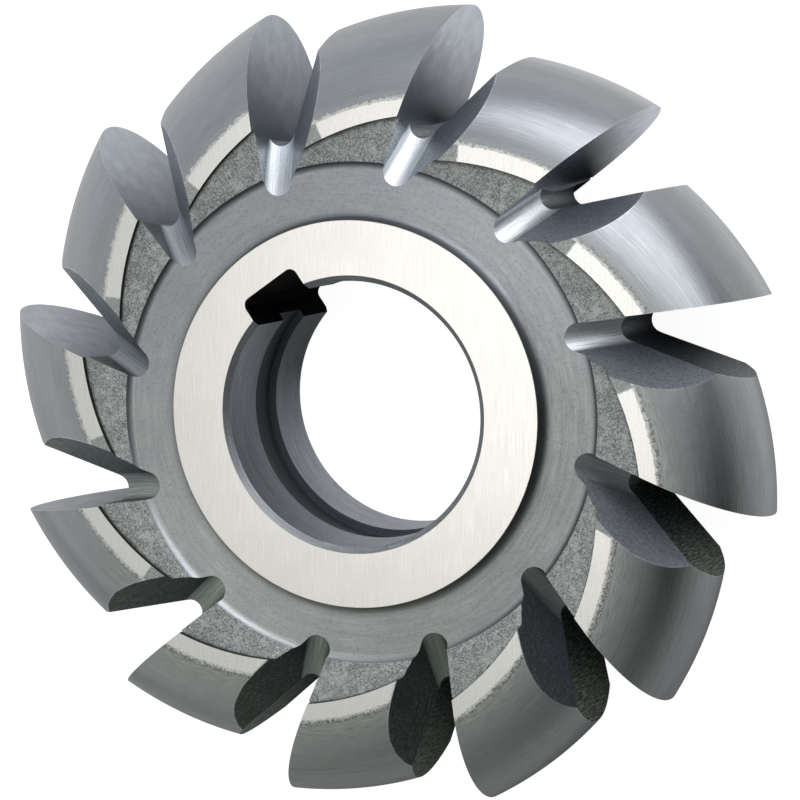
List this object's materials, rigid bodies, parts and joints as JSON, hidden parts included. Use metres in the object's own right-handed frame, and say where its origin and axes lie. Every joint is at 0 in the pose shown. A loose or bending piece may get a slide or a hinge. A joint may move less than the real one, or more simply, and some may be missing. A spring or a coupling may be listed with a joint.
{
  "type": "convex radius cutter",
  "caption": "Form-relieved milling cutter whose teeth have a convex half-circle profile, with a keyed and relieved bore, ground hub faces and a turned ring groove on each side.",
  "frame": {"origin": "centre of the back hub face, on the bore's axis, where the cutter lies on a surface", "axes": "+Z along the bore's axis, from the back face to the face shown in the picture; +Y through the middle of the keyway"},
  "size_m": [0.0978, 0.0978, 0.024],
  "materials": {
    "radius_cutter": "hardened tool steel: hub faces and tooth flanks ground bright, tooth form satin, web turned and partly rough"
  },
  "bodies": {
    "root": {"radius_cutter": "radius_cutter"}
  },
  "joints": []
}
